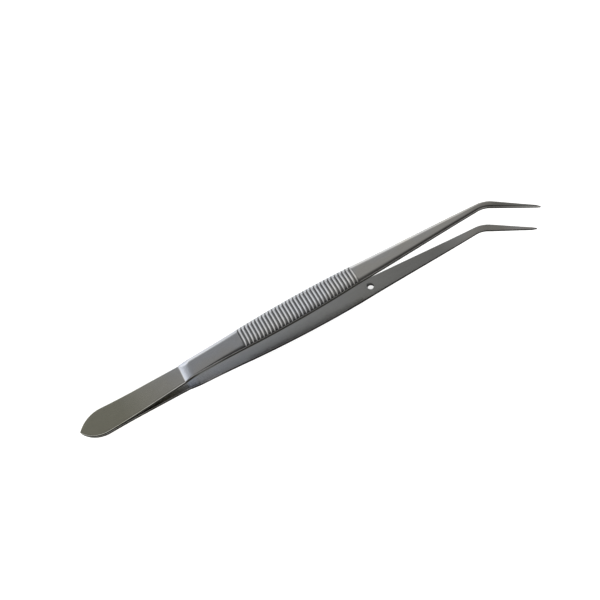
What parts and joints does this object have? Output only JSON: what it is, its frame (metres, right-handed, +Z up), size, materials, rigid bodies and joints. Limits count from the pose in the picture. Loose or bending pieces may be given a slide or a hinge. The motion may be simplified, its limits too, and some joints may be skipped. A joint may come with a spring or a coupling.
{
  "type": "bent-tip tweezers",
  "caption": "Long fine-point tweezers with sideways bent tips, cross-grooved grip, guide pin and leaf-shaped welded tail.",
  "frame": {"origin": "middle of the base of the box round the tweezers as they lie on their lower arm", "axes": "+X from the tail towards the tips, +Y across the blades on the side away from the bent tips, +Z up from the table"},
  "size_m": [0.1552, 0.0144, 0.0156],
  "materials": {
    "blade_steel": "satin",
    "pin_steel": "satin",
    "weld_metal": "satin"
  },
  "bodies": {
    "tail": {"upper_tail_leaf": "blade_steel", "lower_tail_leaf": "blade_steel", "weld_nuggets": "weld_metal"},
    "upper_arm": {"upper_arm": "blade_steel", "guide_pin": "pin_steel"},
    "lower_arm": {"lower_arm": "blade_steel"}
  },
  "joints": [
    {"name": "upper_arm_flex", "type": "hinge", "parent": "tail", "child": "upper_arm", "pos_m": [-0.06161, 0.00302, 0.00369], "axis": [0, 1, 0], "range_deg": [0, 2.32], "stiffness_Nm_per_rad": 5},
    {"name": "lower_arm_flex", "type": "hinge", "parent": "tail", "child": "lower_arm", "pos_m": [-0.06159, 0.00302, 0.00318], "axis": [0, -1, 0], "range_deg": [0, 2.32], "stiffness_Nm_per_rad": 5}
  ]
}
